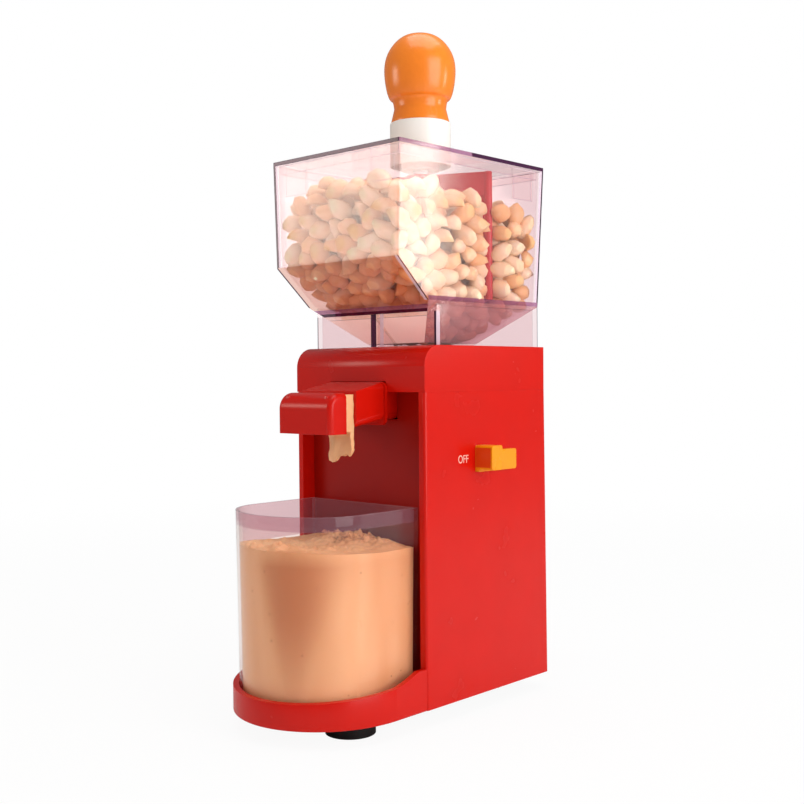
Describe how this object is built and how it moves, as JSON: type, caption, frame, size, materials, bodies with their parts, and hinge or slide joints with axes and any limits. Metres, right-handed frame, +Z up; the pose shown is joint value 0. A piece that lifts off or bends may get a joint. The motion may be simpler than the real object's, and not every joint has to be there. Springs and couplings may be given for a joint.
{
  "type": "nut butter grinder",
  "caption": "Table-top nut butter grinder: red column with a clear lidded hopper, hand-turned stirrer knob, burr drive, front spout over a clear cup in a tray, side switch and suction feet",
  "frame": {"origin": "centre of the machine's footprint box on the table under its feet", "axes": "+X to the switch side, +Y to the back where the cord leaves, +Z up"},
  "size_m": [0.123, 0.2066, 0.423],
  "materials": {
    "red_plastic": "gloss red moulded plastic",
    "stirrer_red": "gloss red moulded plastic",
    "black_plastic": "matte black moulded plastic",
    "black_rubber": "soft black rubber",
    "screw_steel": "zinc plated steel",
    "machined_steel": "machined steel",
    "white_plastic": "satin white moulded plastic",
    "bronze": "plain bearing bronze",
    "magnet_iron": "sintered magnet",
    "green_board": "coated circuit board",
    "yellow_plastic": "gloss yellow moulded plastic",
    "orange_plastic": "gloss orange moulded plastic",
    "clear_plastic": "clear moulded plastic"
  },
  "bodies": {
    "housing": {"main_housing": "red_plastic", "front_panel": "red_plastic", "top_cap": "red_plastic", "base_tray": "red_plastic", "bottom_cover": "black_plastic", "foot_front_left": "black_rubber", "foot_front_right": "black_rubber", "foot_rear_left": "black_rubber", "foot_rear_right": "black_rubber", "cover_screws": "screw_steel", "cap_screws": "screw_steel", "frame_screws": "screw_steel", "chamber_screws": "screw_steel", "tray_screws": "screw_steel", "spout_arm": "red_plastic", "spout_hood": "red_plastic", "grind_chamber": "white_plastic", "burr_stator": "machined_steel", "chamber_seal": "black_rubber", "gear_case": "white_plastic", "gear_cover": "white_plastic", "spindle_bushes": "bronze", "motor_can": "machined_steel", "motor_end_cap": "machined_steel", "motor_bushes": "bronze", "motor_magnets": "magnet_iron", "motor_cradle": "machined_steel", "switch_body": "black_plastic", "rectifier_board": "green_board", "cord_gland": "black_plastic"},
    "motor_rotor": {"motor_shaft": "machined_steel", "armature": "machined_steel", "commutator": "bronze", "motor_fan": "black_plastic", "motor_pinion": "machined_steel"},
    "burr": {"output_spindle": "machined_steel", "drive_gear": "machined_steel", "burr_rotor": "machined_steel", "butter_wiper": "white_plastic", "feed_auger": "white_plastic"},
    "switch": {"switch_slider": "yellow_plastic"},
    "hopper": {"hopper_bin": "clear_plastic", "hopper_funnel": "clear_plastic", "hopper_spigot": "clear_plastic", "hopper_skirt": "clear_plastic"},
    "lid": {"hopper_lid": "clear_plastic", "lid_collar": "white_plastic"},
    "stirrer": {"stirrer_knob": "orange_plastic", "stirrer_stem": "machined_steel", "stirrer_paddle": "stirrer_red"},
    "cup": {"butter_cup": "clear_plastic"}
  },
  "joints": [
    {"name": "burr_spin", "type": "hinge", "parent": "housing", "child": "burr", "pos_m": [-0.0065, 0.03909, 0.19], "axis": [0, 0, 1], "continuous": true},
    {"name": "motor_spin", "type": "hinge", "parent": "housing", "child": "motor_rotor", "pos_m": [-0.0065, 0.06909, 0.11], "axis": [0, 0, 1], "continuous": true},
    {"name": "switch_slide", "type": "slide", "parent": "housing", "child": "switch", "axis": [0, 1, 0], "range_m": [0, 0.008]},
    {"name": "hopper_lift", "type": "slide", "parent": "housing", "child": "hopper", "axis": [0, 0, 1], "range_m": [0, 0.06]},
    {"name": "lid_lift", "type": "slide", "parent": "hopper", "child": "lid", "axis": [0, 0, 1], "range_m": [0, 0.1]},
    {"name": "stirrer_turn", "type": "hinge", "parent": "lid", "child": "stirrer", "pos_m": [-0.0065, 0.03909, 0.35], "axis": [0, 0, 1], "continuous": true},
    {"name": "cup_lift", "type": "slide", "parent": "housing", "child": "cup", "axis": [0, 0, 1], "range_m": [0, 0.03]}
  ],
  "couplings": [
    {"joint": "motor_spin", "follows": "burr_spin", "ratio": -3}
  ]
}
